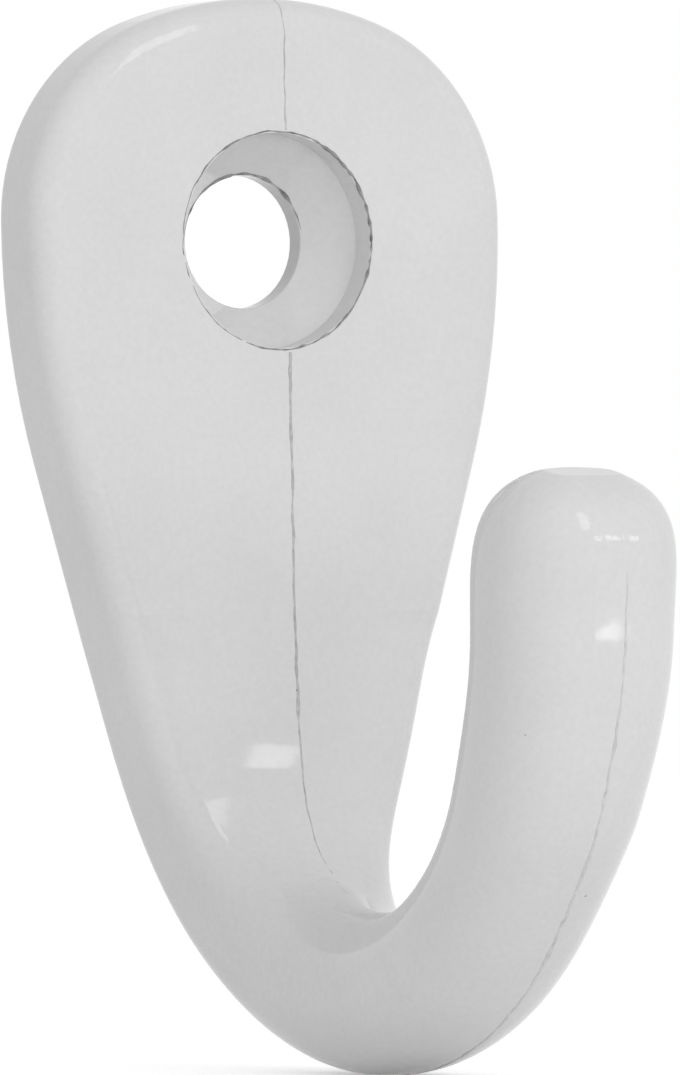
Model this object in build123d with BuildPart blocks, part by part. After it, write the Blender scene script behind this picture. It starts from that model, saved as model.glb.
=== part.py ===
"""Moulded plastic coat hook: a drop-shaped wall plate that runs on into a J-shaped arm.

The hook is one moulding. The origin is on the axis of the screw hole, in the plane of the
wall. X runs to the right, Z up, and the hook stands out from the wall towards -Y.
"""
import math
import os

from build123d import *

os.makedirs("parts", exist_ok=True)

# Wall plate, seen from the front: heights and drops are from the axis of the screw hole
plate_rise = 9.8
plate_half_width = 11.0
crown_radius = 15.8
shoulder_radius = 8.5
flank_bend_radius = 35.0
flank_taper = 16.5
neck_drop = 15.0

# Wall plate, seen from the side
plate_thickness = 3.65
face_lean = 1.0
face_crown = 0.2
front_edge_round = 1.2
back_edge_round = 0.6

# Screw hole: a bore at the wall, then a cone and a short straight wall for the screw's head
bore_diameter = 5.4
bore_length = 0.8
seat_diameter = 8.7
seat_cone_angle = 90.0

# Back line of the arm, seen from the side: down the wall, round the heel and up to the tip
heel_drop = 33.4
heel_radius = 11.4
front_bend_radius = 16.4
front_bend_turn = 41.0
arm_sweep_radius = 20.7
tip_lean = 5.0
tip_straight = 2.2
tip_slope = 7.0

# Arm sections, from the bend to the fully rounded tip
bend_depth = 6.45
bend_width = 6.8
tip_depth = 6.7
tip_width = 8.1
arm_roundness = 0.95
tip_edge_round = 0.4

arc_spread = crown_radius - shoulder_radius
crown_turn = math.degrees(math.asin((plate_half_width - shoulder_radius) / arc_spread))
widest_rise = plate_rise - crown_radius + arc_spread * math.cos(math.radians(crown_turn))
taper_slope = math.tan(math.radians(flank_taper))
lean_slope = math.tan(math.radians(face_lean))
heel_start_drop = heel_drop - heel_radius
heel_mid_drop = heel_start_drop + heel_radius * math.pi / 4
dome_radius = tip_depth / 2


def glide(start, end, share):
    """The value a share of the way from start to end, with no slope at either end."""
    return start + (end - start) * share * share * (3 - 2 * share)


def follow(start, towards, end, share):
    """The value on a curve that sets out from start towards a second value and comes in to end."""
    return start * (1 - share) ** 2 + towards * 2 * share * (1 - share) + end * share**2


def face_depth(drop):
    """Distance of the plate's face from the wall, a given drop below the screw hole."""
    return plate_thickness + drop * lean_slope


def flank(drop):
    """Half the plate's width on its straight flanks, a given drop below the screw hole."""
    curve_drop = flank_bend_radius * math.sin(math.radians(flank_taper)) - widest_rise
    curve_inset = flank_bend_radius * (1 - math.cos(math.radians(flank_taper)))
    return plate_half_width - curve_inset - (drop - curve_drop) * taper_slope


def arm_round(half_width, depth):
    """Corner round of the arm: nearly all of its smaller half."""
    return arm_roundness * min(half_width, (depth - face_crown) / 2)


def section(line, share, half_width, depth, back_round, front_round, inset=0.0):
    """An oblong across the arm, its back on a line, or a smaller one inset on all sides."""
    half_width -= inset
    back_round -= inset
    front_round -= inset
    crest = depth - inset
    shoulder = crest - face_crown
    with BuildSketch(Plane(origin=line @ share, x_dir=(1, 0, 0), z_dir=line % share)) as oblong:
        with BuildLine():
            back = Line((back_round - half_width, inset), (half_width - back_round, inset))
            corner = JernArc(back @ 1, (1, 0), back_round, 90)
            side = Line(corner @ 1, (half_width, shoulder - front_round))
            corner = JernArc(side @ 1, (0, 1), front_round, 90)
            front = ThreePointArc(corner @ 1, (0, crest), (front_round - half_width, shoulder))
            corner = JernArc(front @ 1, (-1, 0), front_round, 90)
            side = Line(corner @ 1, (-half_width, inset + back_round))
            JernArc(side @ 1, (0, -1), back_round, 90)
        make_face()
    return oblong.sketch.faces()[0]


with BuildPart() as hook_body:
    # Drop-shaped plate from its top down to the neck
    with BuildSketch(Plane.XZ):
        with BuildLine():
            crown = JernArc((0, plate_rise), (1, 0), crown_radius, -crown_turn)
            shoulder = JernArc(crown @ 1, crown % 1, shoulder_radius, crown_turn - 90)
            bend = JernArc(shoulder @ 1, (0, -1), flank_bend_radius, -flank_taper)
            Line(bend @ 1, (flank(neck_drop), -neck_drop))
            mirror(about=Plane.YZ)
            Line((flank(neck_drop), -neck_drop), (-flank(neck_drop), -neck_drop))
        make_face()
    extrude(amount=face_depth(neck_drop))

    # Gently crowned face that leans out towards the arm
    with BuildSketch(Plane.XY.offset(plate_rise)):
        with BuildLine():
            top_depth = face_depth(-plate_rise)
            face = ThreePointArc(
                (-plate_half_width, face_crown - top_depth),
                (0, -top_depth),
                (plate_half_width, face_crown - top_depth),
            )
            behind = top_depth
            Polyline(face @ 1, (plate_half_width, behind), (-plate_half_width, behind), face @ 0)
        make_face()
    extrude(
        amount=(plate_rise + neck_drop) * math.hypot(1, lean_slope),
        dir=(0, -lean_slope, -1),
        mode=Mode.INTERSECT,
    )
    rim_edges = hook_body.faces().sort_by(Axis.Y)[0].edges().sort_by(Axis.Z)[1:]
    fillet(rim_edges, front_edge_round)
    rim_edges = hook_body.faces().sort_by(Axis.Y)[-1].edges().sort_by(Axis.Z)[1:]
    fillet(rim_edges, back_edge_round)
    neck = hook_body.faces().sort_by(Axis.Z)[0]

    # Back line of the arm in the side view, where forward is to the right
    side_view = Plane(origin=(0, 0, 0), x_dir=(0, -1, 0), z_dir=(-1, 0, 0))
    with BuildLine(side_view, mode=Mode.PRIVATE):
        wall_run = Line((0, -neck_drop), (0, -heel_start_drop))
        heel = JernArc((0, -heel_start_drop), (0, -1), heel_radius, 90)
        front_bend = JernArc((heel_radius, -heel_drop), (1, 0), front_bend_radius, front_bend_turn)
        turn = math.radians(front_bend_turn)
        sweep_start = (
            heel_radius + front_bend_radius * math.sin(turn),
            front_bend_radius * (1 - math.cos(turn)) - heel_drop,
        )
        sweep_turn = 90 - front_bend_turn - tip_lean
        sweep = JernArc(sweep_start, (math.cos(turn), math.sin(turn)), arm_sweep_radius, sweep_turn)
        lean = math.radians(tip_lean)
        tip_start = (-(sweep @ 1).Y, (sweep @ 1).Z)
        tip_run = PolarLine(tip_start, tip_straight, direction=(math.sin(lean), math.cos(lean)))
        lean = math.radians(tip_lean + tip_slope)
        dome_start = (-(tip_run @ 1).Y, (tip_run @ 1).Z)
        dome = PolarLine(dome_start, dome_radius, direction=(math.sin(lean), math.cos(lean)))

    # The plate deepens and rounds into the arm from the neck to the end of the heel
    stations = [neck]
    wall_share = wall_run.length / (wall_run.length + heel.length)
    for share in (0.12, 0.5, 1.0):
        drop = neck_drop + wall_run.length * share
        eased = wall_share * share
        depth = glide(face_depth(drop), bend_depth, eased)
        full_round = arm_round(flank(drop), depth)
        back_round = glide(back_edge_round, full_round, eased)
        front_round = glide(front_edge_round, full_round, eased)
        stations.append(section(wall_run, share, flank(drop), depth, back_round, front_round))
    for share in (0.25, 0.5, 0.75, 1.0):
        half_width = follow(flank(heel_start_drop), flank(heel_mid_drop), bend_width / 2, share)
        eased = wall_share + (1 - wall_share) * share
        depth = glide(face_depth(heel_start_drop), bend_depth, eased)
        full_round = arm_round(half_width, depth)
        back_round = glide(back_edge_round, full_round, eased)
        front_round = glide(front_edge_round, full_round, eased)
        stations.append(section(heel, share, half_width, depth, back_round, front_round))

    # Then the arm widens up to the tip
    for share in (0.33, 0.67, 1.0):
        full_round = arm_round(bend_width / 2, bend_depth)
        stations.append(section(front_bend, share, bend_width / 2, bend_depth, full_round, full_round))
    for share in (0.33, 0.67, 1.0):
        half_width = glide(bend_width / 2, tip_width / 2, share)
        depth = glide(bend_depth, tip_depth, share)
        full_round = arm_round(half_width, depth)
        stations.append(section(sweep, share, half_width, depth, full_round, full_round))

    # The tip closes in along a quarter round that is a little lower in front
    for angle in (0, 30, 55, 75):
        closing = math.radians(angle)
        inset = dome_radius * (1 - math.cos(closing))
        full_round = arm_round(tip_width / 2, tip_depth)
        stations.append(
            section(dome, math.sin(closing), tip_width / 2, tip_depth, full_round, full_round, inset)
        )
    loft(sections=stations)
    tip_end = hook_body.faces().filter_by(Axis(origin=(0, 0, 0), direction=dome % 0))
    fillet(tip_end.edges(), tip_edge_round)

    # Screw hole, turned about its own axis
    with BuildSketch(Plane.YZ):
        with BuildLine():
            cone_depth = (seat_diameter - bore_diameter) / 2 / math.tan(math.radians(seat_cone_angle / 2))
            bore_radius = bore_diameter / 2
            seat_radius = seat_diameter / 2
            clear = -2 * plate_thickness
            Polyline(
                (plate_thickness, 0),
                (plate_thickness, bore_radius),
                (-bore_length, bore_radius),
                (-bore_length - cone_depth, seat_radius),
                (clear, seat_radius),
                (clear, 0),
                close=True,
            )
        make_face()
    revolve(axis=Axis.Y, mode=Mode.SUBTRACT)

hook_body.part.label = "hook_body"
export_step(hook_body.part, "parts/hook_body.step")
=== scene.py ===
"""Looks of the moulded coat hook: gloss plastic, parting line, flash round the screw hole, studio.

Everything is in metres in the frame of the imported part: the origin is on the axis of the
screw hole in the plane of the wall, Z is up and the hook stands out towards -Y.
"""
import math

import bmesh
import bpy
from mathutils import Matrix, Quaternion, Vector, noise
from mathutils.bvhtree import BVHTree


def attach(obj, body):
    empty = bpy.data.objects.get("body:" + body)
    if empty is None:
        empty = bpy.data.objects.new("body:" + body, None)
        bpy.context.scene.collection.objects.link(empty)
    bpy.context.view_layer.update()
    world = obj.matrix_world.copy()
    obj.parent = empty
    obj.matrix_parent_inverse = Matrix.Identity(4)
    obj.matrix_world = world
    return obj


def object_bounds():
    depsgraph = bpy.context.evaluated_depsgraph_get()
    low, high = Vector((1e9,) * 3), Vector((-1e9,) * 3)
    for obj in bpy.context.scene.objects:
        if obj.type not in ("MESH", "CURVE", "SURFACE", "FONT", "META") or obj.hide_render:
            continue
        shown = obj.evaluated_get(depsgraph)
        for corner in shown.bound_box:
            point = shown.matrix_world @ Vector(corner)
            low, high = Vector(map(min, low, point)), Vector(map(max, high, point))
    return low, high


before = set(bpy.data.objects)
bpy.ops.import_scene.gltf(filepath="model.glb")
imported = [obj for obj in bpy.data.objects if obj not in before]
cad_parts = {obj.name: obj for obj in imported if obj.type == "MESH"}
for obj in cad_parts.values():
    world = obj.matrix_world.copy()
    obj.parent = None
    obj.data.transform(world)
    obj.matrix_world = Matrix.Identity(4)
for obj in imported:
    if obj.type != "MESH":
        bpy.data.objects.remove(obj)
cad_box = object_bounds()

MM = 0.001
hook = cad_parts["hook_body"]

# Screw hole, as the part has it
SEAT_RADIUS = 4.35 * MM
BORE_RADIUS = 2.7 * MM

# Parting line: its plane, and the ragged bead of flash that stands along it
PARTING_X = 0.45 * MM
PARTING_WIDTH = 0.22 * MM
PARTING_HEIGHT = 0.025 * MM

# On the plate it is weaker at the screw hole, strongest lower down, and fades out in the bend
HOLE_STRENGTH = 0.6
STRONGEST_Z = -17.0 * MM
FADE_END_Z = -28.2 * MM

# The plate ends in the throat, and where the surface turns to face the floor
THROAT_Y = -13.0 * MM
FLOORWARD_TILT = -0.2

# On the arm it is weaker, and fades out below the tip
ARM_STRENGTH = 0.75
TIP_CLEAR_Z = -12.5 * MM
ARM_FADE = 5.0 * MM

# Flash round the screw hole: its middle stands a little outside the edge
FLASH_WIDTH = 0.17 * MM
FLASH_HEIGHT = 0.05 * MM
FLASH_OUTSET = 0.05 * MM

# Beads: the spacing of their profiles, and how thin, how thick and how ragged they get
BEAD_STEP = 0.1 * MM
THINNEST_BEAD = 0.15
THICKEST_BEAD = 1.3
MEAN_BEAD = 0.8
RAGGED_DEPTH = 0.5
RAGGED_SCALE = 2300
RAGGED_SHIFT = Vector((7, 3, 5))
WANDER_DEPTH = 0.25
WANDER_SCALE = 1400
WALL_MARGIN = 0.3 * MM

# How close two points of the mesh are one, and how close a point is on a cutting plane
SAME_POINT = 0.0001 * MM
ON_PLANE = 0.00001 * MM

# A place well in front of the hook, to look at its surface from
IN_FRONT_Y = -50.0 * MM
TOWARDS_WALL = Vector((0, 1, 0))


# Materials


def principled(name):
    """A new material with nodes, and its shader."""
    material = bpy.data.materials.new(name)
    material.use_nodes = True
    return material, material.node_tree.nodes["Principled BSDF"]


def speckle(tree, scale, detail, low, high):
    """Noise over the object's own coordinates, spread between two values."""
    place = tree.nodes.new("ShaderNodeTexCoord")
    grain = tree.nodes.new("ShaderNodeTexNoise")
    grain.inputs["Scale"].default_value = scale
    grain.inputs["Detail"].default_value = detail
    spread = tree.nodes.new("ShaderNodeMapRange")
    spread.inputs["From Min"].default_value = 0.3
    spread.inputs["From Max"].default_value = 0.7
    spread.inputs["To Min"].default_value = low
    spread.inputs["To Max"].default_value = high
    tree.links.new(place.outputs["Object"], grain.inputs["Vector"])
    tree.links.new(grain.outputs["Fac"], spread.inputs["Value"])
    return spread.outputs["Result"]


def tint(tree, factor, dark, light):
    """A colour between two greys, by a factor."""
    mix = tree.nodes.new("ShaderNodeMix")
    mix.data_type = "RGBA"
    mix.inputs["A"].default_value = (dark, dark, dark, 1)
    mix.inputs["B"].default_value = (light, light, light, 1)
    tree.links.new(factor, mix.inputs["Factor"])
    return mix.outputs["Result"]


def shaded(tree, colour, factor, share):
    """A colour, darkened to a share of itself where the factor is 1."""
    mix = tree.nodes.new("ShaderNodeMix")
    mix.data_type = "RGBA"
    mix.blend_type = "MULTIPLY"
    mix.inputs["B"].default_value = (share, share, share, 1)
    tree.links.new(factor, mix.inputs["Factor"])
    tree.links.new(colour, mix.inputs["A"])
    return mix.outputs["Result"]


def near_hole_axis(tree, radius, softness):
    """1 within a radius of the screw hole's axis, 0 outside it."""
    place = tree.nodes.new("ShaderNodeTexCoord")
    flatten = tree.nodes.new("ShaderNodeVectorMath")
    flatten.operation = "MULTIPLY"
    flatten.inputs[1].default_value = (1, 0, 1)
    distance = tree.nodes.new("ShaderNodeVectorMath")
    distance.operation = "LENGTH"
    edge = tree.nodes.new("ShaderNodeMapRange")
    edge.inputs["From Min"].default_value = radius + softness
    edge.inputs["From Max"].default_value = radius
    tree.links.new(place.outputs["Object"], flatten.inputs[0])
    tree.links.new(flatten.outputs["Vector"], distance.inputs[0])
    tree.links.new(distance.outputs["Value"], edge.inputs["Value"])
    return edge.outputs["Result"]


def gloss_plastic():
    """Pale grey white moulding: faint clouding, a skin not quite even, painted shade in the bore.
    """
    material, shader = principled("gloss_plastic")
    tree = material.node_tree
    clouding = speckle(tree, scale=180, detail=4, low=0, high=1)
    grain = speckle(tree, scale=4000, detail=3, low=0, high=1)
    # Inside the bore the base colour is darkened: painted shade in the hole
    bore_shade = near_hole_axis(tree, BORE_RADIUS, softness=0.04 * MM)
    clouded = tint(tree, clouding, dark=0.68, light=0.71)
    grained = shaded(tree, clouded, grain, share=0.955)
    tree.links.new(shaded(tree, grained, bore_shade, share=0.78), shader.inputs["Base Color"])
    sheen = speckle(tree, scale=420, detail=3, low=0.04, high=0.08)
    tree.links.new(sheen, shader.inputs["Roughness"])
    shader.inputs["IOR"].default_value = 1.4
    skin = tree.nodes.new("ShaderNodeBump")
    skin.inputs["Strength"].default_value = 0.03
    skin.inputs["Distance"].default_value = 0.02 * MM
    ripple = speckle(tree, scale=1100, detail=4, low=0, high=1)
    tree.links.new(ripple, skin.inputs["Height"])
    tree.links.new(skin.outputs["Normal"], shader.inputs["Normal"])
    return material


def dull_plastic(name, dark, light):
    """The same plastic where it is squeezed thin: dull and darker, its grey partly grime and
    partly painted shade.
    """
    material, shader = principled(name)
    tree = material.node_tree
    grime_and_shade = speckle(tree, scale=2600, detail=4, low=0, high=1)
    tree.links.new(tint(tree, grime_and_shade, dark, light), shader.inputs["Base Color"])
    dullness = speckle(tree, scale=1500, detail=2, low=0.45, high=0.6)
    tree.links.new(dullness, shader.inputs["Roughness"])
    return material


moulding = gloss_plastic()
# The parting line beads are darker: partly grime, partly the painted shade of the seam's groove
parting_plastic = dull_plastic("parting_plastic", dark=0.35, light=0.57)
arm_line_plastic = dull_plastic("arm_line_plastic", dark=0.52, light=0.67)
# Very dark: painted shade along the rims of the seat and the bore, and the grime of the specks
flash_plastic = dull_plastic("flash_plastic", dark=0.12, light=0.4)
for slot in hook.material_slots:
    slot.material = moulding
if not hook.material_slots:
    hook.data.materials.append(moulding)


# Beads that follow the moulding's surface

surface = BVHTree.FromObject(hook, bpy.context.evaluated_depsgraph_get())


def section_lines(x):
    """Points in order round each closed section of the hook at a given X."""
    cut = bmesh.new()
    cut.from_mesh(hook.data)
    bmesh.ops.remove_doubles(cut, verts=cut.verts, dist=SAME_POINT)
    on_plane = bmesh.ops.bisect_plane(
        cut,
        geom=cut.verts[:] + cut.edges[:] + cut.faces[:],
        plane_co=(x, 0, 0),
        plane_no=(1, 0, 0),
        dist=ON_PLANE,
    )["geom_cut"]
    neighbours = {}
    for element in on_plane:
        if isinstance(element, bmesh.types.BMEdge):
            a, b = element.verts
            neighbours.setdefault(a, []).append(b)
            neighbours.setdefault(b, []).append(a)
    lines = []
    remaining = set(neighbours)
    while remaining:
        following = [max(remaining, key=lambda v: (v.co.z, v.co.y))]
        line = []
        while following:
            line.append(following[0].co.copy())
            remaining.discard(following[0])
            following = [v for v in neighbours[following[0]] if v in remaining]
        lines.append(line)
    cut.free()
    return [line for line in lines if len(line) > 2]


def evenly_spaced(points, step):
    """The same closed line with its points one step apart."""
    spaced = [points[0]]
    carried = 0.0
    for a, b in zip(points, points[1:] + points[:1]):
        length = (b - a).length
        while carried + length >= step:
            a = a.lerp(b, (step - carried) / length)
            length = (b - a).length
            spaced.append(a)
            carried = 0.0
        carried += length
    return spaced


def cross_section(spot, normal, side, size, width, height):
    """Six points round a low bead that is sunk a little into the surface."""
    half = side * width * size / 2
    rise = normal * height * size
    shoulder = half * 0.55
    shoulder_rise = rise * 0.75
    foot_sink = rise * 0.35
    root_sink = rise * 0.7
    return [
        spot - half - foot_sink,
        spot - shoulder + shoulder_rise,
        spot + rise,
        spot + shoulder + shoulder_rise,
        spot + half - foot_sink,
        spot - root_sink,
    ]


def tube(mesh, run):
    """A closed tube through a run of profiles; a run of one profile makes nothing."""
    if len(run) < 2:
        return
    rows = [[mesh.verts.new(p) for p in profile] for profile in run]
    for row, next_row in zip(rows, rows[1:]):
        for k in range(len(row)):
            n = (k + 1) % len(row)
            mesh.faces.new((row[k], row[n], next_row[n], next_row[k])).smooth = True
    mesh.faces.new(rows[0])
    mesh.faces.new(rows[-1])


def bead(name, lines, width, height, strength, material):
    """Low ragged beads along lines on the surface, broken where their strength runs out."""
    mesh = bmesh.new()
    for points in lines:
        run = []
        for i, point in enumerate(points):
            spot, normal, _, _ = surface.find_nearest(point)
            ahead = points[min(i + 1, len(points) - 1)] - points[max(i - 1, 0)]
            side = normal.cross(ahead).normalized()
            roughly = noise.noise(point * RAGGED_SCALE + RAGGED_SHIFT)
            ragged = MEAN_BEAD + RAGGED_DEPTH * roughly
            size = min(strength(spot, normal) * ragged, THICKEST_BEAD)
            if size < THINNEST_BEAD:
                tube(mesh, run)
                run = []
            else:
                wander = WANDER_DEPTH * noise.noise(point * WANDER_SCALE)
                spot = spot + side * width * wander
                run.append(cross_section(spot, normal, side, size, width, height))
        tube(mesh, run)
    return add_piece(name, mesh, material)


def add_piece(name, mesh, material):
    """A finished piece of the hook from mesh data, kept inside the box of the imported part."""
    lowest = cad_box[0]
    for vertex in mesh.verts:
        vertex.co.y = max(vertex.co.y, lowest.y)
        vertex.co.z = max(vertex.co.z, lowest.z)
    bmesh.ops.recalc_face_normals(mesh, faces=mesh.faces[:])
    data = bpy.data.meshes.new(name)
    mesh.to_mesh(data)
    mesh.free()
    data.materials.append(material)
    piece = bpy.data.objects.new(name, data)
    bpy.context.scene.collection.objects.link(piece)
    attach(piece, "root")
    return piece


def patchy(spot, scale, depth):
    """About 1, less or more by a depth in patches."""
    return 1 + depth * noise.noise(spot * scale)


def on_plate(spot, normal):
    """True in front of the plate and in the throat, false under the hook and on the arm."""
    return spot.y > THROAT_Y and normal.z > FLOORWARD_TILT


def parting_strength(spot, normal):
    """Clear down the front of the plate, fading out in the bend."""
    in_seat = math.hypot(spot.x, spot.z) < SEAT_RADIUS + BEAD_STEP
    if spot.y > -WALL_MARGIN or in_seat or not on_plate(spot, normal):
        return 0.0
    if spot.z > STRONGEST_Z:
        fade = HOLE_STRENGTH + (1 - HOLE_STRENGTH) * min(spot.z / STRONGEST_Z, 1)
    else:
        fade = (spot.z - FADE_END_Z) / (STRONGEST_Z - FADE_END_Z)
    return min(max(fade, 0), 1) * patchy(spot, scale=900, depth=0.6)


def arm_line_strength(spot, normal):
    """Faint and broken under the hook and up the front of the arm, gone before the tip."""
    if spot.y > -WALL_MARGIN or on_plate(spot, normal) or (normal.y > 0 and normal.z > 0):
        return 0.0
    rising = min(max((TIP_CLEAR_Z - spot.z) / ARM_FADE, 0), 1)
    return ARM_STRENGTH * rising * patchy(spot, scale=420, depth=0.9)


parting = [evenly_spaced(line, BEAD_STEP) for line in section_lines(PARTING_X)]
bead("parting_line", parting, PARTING_WIDTH, PARTING_HEIGHT, parting_strength, parting_plastic)
bead("arm_line", parting, PARTING_WIDTH, PARTING_HEIGHT, arm_line_strength, arm_line_plastic)


def ring(radius):
    """Points on the moulding all round the screw hole, at a radius from its axis."""
    count = round(math.tau * radius / BEAD_STEP)
    points = []
    for i in range(count + 1):
        angle = math.tau * i / count
        above = Vector((radius * math.cos(angle), IN_FRONT_Y, radius * math.sin(angle)))
        points.append(surface.ray_cast(above, TOWARDS_WALL)[0])
    return points


def swelling(spot, mean, swing, towards):
    """A mean strength round the screw hole that swells towards one angle, in radians."""
    angle = math.atan2(spot.z, spot.x)
    return max(mean + swing * math.cos(angle - towards), 0)


def seat_strength(spot, normal):
    """Ragged all round, most of it at the right and the top."""
    return swelling(spot, mean=0.6, swing=0.3, towards=0.3) * patchy(spot, scale=3300, depth=0.9)


def bore_strength(spot, normal):
    """Round the top of the bore's front edge, in clots."""
    return swelling(spot, mean=0.2, swing=0.9, towards=1.7) * patchy(spot, scale=1900, depth=1.6)


seat_rim = [ring(SEAT_RADIUS + FLASH_OUTSET)]
bore_rim = [ring(BORE_RADIUS + FLASH_OUTSET)]
# These dark rim beads are painted shade at the edges of the countersink and the bore
bead("seat_flash", seat_rim, FLASH_WIDTH, FLASH_HEIGHT, seat_strength, flash_plastic)
bead("bore_flash", bore_rim, FLASH_WIDTH, FLASH_HEIGHT, bore_strength, flash_plastic)


def speck(mesh, x, y, z, radius):
    """A low uneven blob of grime on the surface that lies behind a point."""
    spot, normal, _, _ = surface.ray_cast(Vector((x, y, z)), TOWARDS_WALL)
    side = normal.orthogonal().normalized()
    rise = normal * radius * 0.25
    rim_sink = normal * radius * 0.1
    under_sink = normal * radius * 0.2
    corners = 10
    rim = []
    for i in range(corners):
        turned = Matrix.Rotation(math.tau * i / corners, 3, normal) @ side
        reach = radius * patchy(spot + turned, scale=2.3, depth=0.6)
        rim.append(mesh.verts.new(spot + turned * reach - rim_sink))
    top = mesh.verts.new(spot + rise)
    under = mesh.verts.new(spot - under_sink)
    for a, b in zip(rim, rim[1:] + rim[:1]):
        mesh.faces.new((a, b, top))
        mesh.faces.new((b, a, under))


def specks():
    """The few dark specks in the moulding."""
    mesh = bmesh.new()
    speck(mesh, x=0.42 * MM, y=THROAT_Y, z=-18.12 * MM, radius=0.085 * MM)
    speck(mesh, x=1.0 * MM, y=IN_FRONT_Y, z=-26.1 * MM, radius=0.06 * MM)
    speck(mesh, x=-3.08 * MM, y=IN_FRONT_Y, z=-19.72 * MM, radius=0.045 * MM)
    return add_piece("specks", mesh, flash_plastic)


specks()


# Floor, light and camera

FILL_STRENGTH = 0.645
FLOOR_GREY = 0.94
FLOOR_REACH = 3.0


def direction(azimuth, elevation):
    """Unit vector out from the hook: azimuth 0 is straight in front, elevation is up."""
    a = math.radians(azimuth)
    e = math.radians(elevation)
    return Vector((math.sin(a) * math.cos(e), -math.cos(a) * math.cos(e), math.sin(e)))


def area_light(name, aim, azimuth, elevation, distance, width, height, radiance, turn=0):
    """A rectangular lamp that faces its aim, as bright as its radiance, turned in its plane."""
    out = direction(azimuth, elevation)
    data = bpy.data.lights.new(name, "AREA")
    data.shape = "RECTANGLE"
    data.size = width
    data.size_y = height
    data.energy = radiance * math.pi * width * height
    lamp = bpy.data.objects.new(name, data)
    lamp.location = aim + out * distance
    lamp.rotation_mode = "QUATERNION"
    in_plane = Quaternion((0, 0, 1), math.radians(turn))
    lamp.rotation_quaternion = out.to_track_quat("Z", "Y") @ in_plane
    lamp.visible_camera = False
    bpy.context.scene.collection.objects.link(lamp)
    return lamp


def seen_rays(tree):
    """1 for rays from the camera, from gloss or through glass, otherwise 0."""
    path = tree.nodes.new("ShaderNodeLightPath")
    seen = path.outputs["Is Camera Ray"]
    for name in ("Is Glossy Ray", "Is Transmission Ray"):
        either = tree.nodes.new("ShaderNodeMath")
        either.operation = "MAXIMUM"
        tree.links.new(seen, either.inputs[0])
        tree.links.new(path.outputs[name], either.inputs[1])
        seen = either.outputs[0]
    return seen


def pale_floor():
    """A floor under the hook that reads white, with the hook's own soft shadow on it."""
    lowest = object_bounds()[0].z
    signs = ((-1, -1), (1, -1), (1, 1), (-1, 1))
    corners = [(x * FLOOR_REACH, y * FLOOR_REACH, lowest) for x, y in signs]
    mesh = bpy.data.meshes.new("floor")
    mesh.from_pydata(corners, [], [(0, 1, 2, 3)])
    floor = bpy.data.objects.new("floor", mesh)
    bpy.context.scene.collection.objects.link(floor)
    material, shader = principled("floor_white")
    shader.inputs["Base Color"].default_value = (FLOOR_GREY, FLOOR_GREY, FLOOR_GREY, 1)
    shader.inputs["Roughness"].default_value = 0.9
    shader.inputs["Specular IOR Level"].default_value = 0.0
    tree = material.node_tree
    glow = tree.nodes.new("ShaderNodeEmission")
    glow.inputs["Strength"].default_value = 1 - FLOOR_GREY * FILL_STRENGTH
    both = tree.nodes.new("ShaderNodeAddShader")
    mix = tree.nodes.new("ShaderNodeMixShader")
    tree.links.new(shader.outputs[0], both.inputs[0])
    tree.links.new(glow.outputs[0], both.inputs[1])
    tree.links.new(seen_rays(tree), mix.inputs[0])
    tree.links.new(shader.outputs[0], mix.inputs[1])
    tree.links.new(both.outputs[0], mix.inputs[2])
    tree.links.new(mix.outputs[0], tree.nodes["Material Output"].inputs["Surface"])
    mesh.materials.append(material)


def studio_world():
    """White behind everything, and a soft even fill for the surfaces."""
    world = bpy.data.worlds.new("studio")
    bpy.context.scene.world = world
    world.use_nodes = True
    tree = world.node_tree
    fill = tree.nodes["Background"]
    fill.inputs["Color"].default_value = (1, 1, 1, 1)
    fill.inputs["Strength"].default_value = FILL_STRENGTH
    white = tree.nodes.new("ShaderNodeBackground")
    white.inputs["Color"].default_value = (1, 1, 1, 1)
    white.inputs["Strength"].default_value = 1.0
    mix = tree.nodes.new("ShaderNodeMixShader")
    tree.links.new(seen_rays(tree), mix.inputs[0])
    tree.links.new(fill.outputs[0], mix.inputs[1])
    tree.links.new(white.outputs[0], mix.inputs[2])
    tree.links.new(mix.outputs[0], tree.nodes["World Output"].inputs["Surface"])


pale_floor()
studio_world()

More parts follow.
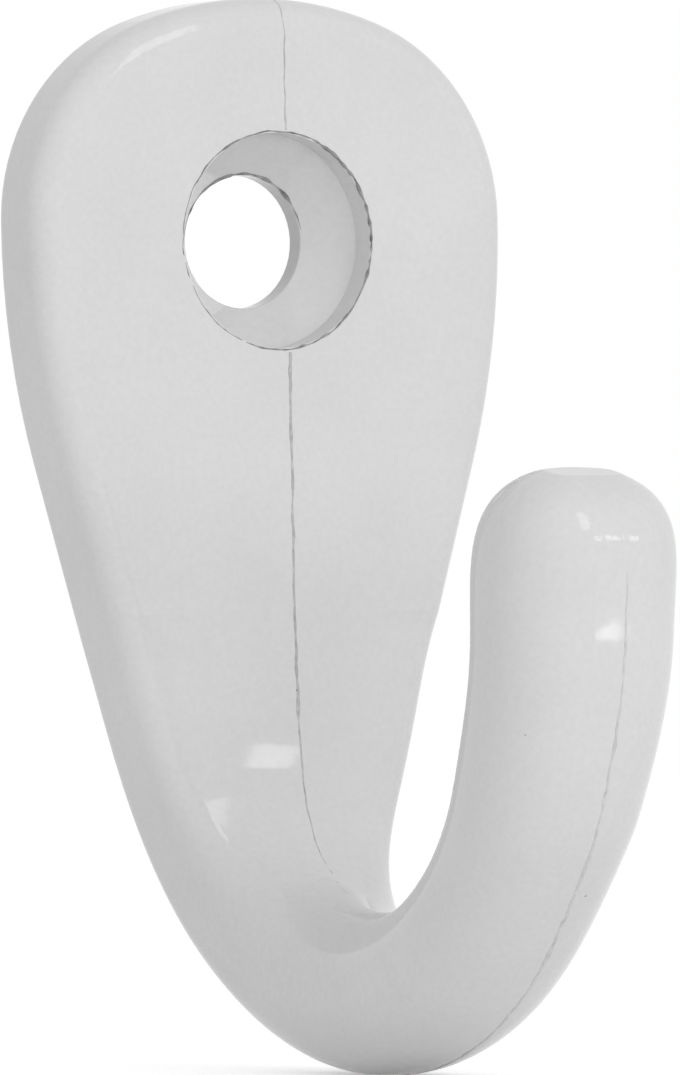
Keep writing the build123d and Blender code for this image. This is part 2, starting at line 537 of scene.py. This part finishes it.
# Two broad soft lamps in front, and small ones that give the sharp highlights. The low window
# stands close to the arm, so that its reflection there stays a small spot
HOOK_MIDDLE = Vector((0, -14, -12)) * MM
ARM_FRONT = Vector((-0.42, -29.2, -15.56)) * MM
key = area_light(
    "key", HOOK_MIDDLE, azimuth=-22, elevation=27,
    distance=1.0, width=1.3, height=0.9, radiance=0.28,
)
key.visible_glossy = False
low_key = area_light(
    "low_key", HOOK_MIDDLE, azimuth=-5, elevation=5,
    distance=1.0, width=1.4, height=0.2, radiance=2.7,
)
low_key.visible_glossy = False
area_light(
    "window", HOOK_MIDDLE, azimuth=29.75, elevation=11.5,
    distance=0.6, width=0.048, height=0.053, radiance=4.8, turn=11,
)
area_light(
    "low_window", ARM_FRONT, azimuth=32.2, elevation=-8.55,
    distance=0.04, width=0.0006, height=0.0011, radiance=13.0,
)
area_light(
    "strip", HOOK_MIDDLE, azimuth=17, elevation=35,
    distance=0.6, width=0.15, height=0.26, radiance=2.9,
)

# Camera: a long lens from the hook's left front, at the height of its middle
CAMERA_AZIMUTH = -30.71
CAMERA_ELEVATION = 0.03
CAMERA_ROLL = -0.59
CAMERA_DISTANCE = 0.5882
CAMERA_AIM = Vector((-2.5, -12.5, -11.99)) * MM
PIXELS_PER_METRE = 25200
PICTURE_HEIGHT = 1075
SENSOR_WIDTH = 36
back = direction(CAMERA_AZIMUTH, CAMERA_ELEVATION)
camera = bpy.data.objects.new("camera", bpy.data.cameras.new("camera"))
camera.data.sensor_width = SENSOR_WIDTH
camera.data.lens = SENSOR_WIDTH * PIXELS_PER_METRE * CAMERA_DISTANCE / PICTURE_HEIGHT
camera.data.clip_start = 0.01
camera.data.clip_end = 20
camera.location = CAMERA_AIM + back * CAMERA_DISTANCE
camera.rotation_mode = "QUATERNION"
level = (-back).to_track_quat("-Z", "Y").to_matrix()
roll = Matrix.Rotation(math.radians(CAMERA_ROLL), 3, "Z")
camera.rotation_quaternion = (level @ roll).to_quaternion()
bpy.context.scene.collection.objects.link(camera)
bpy.context.scene.camera = camera

bpy.context.scene.view_settings.view_transform = "Standard"
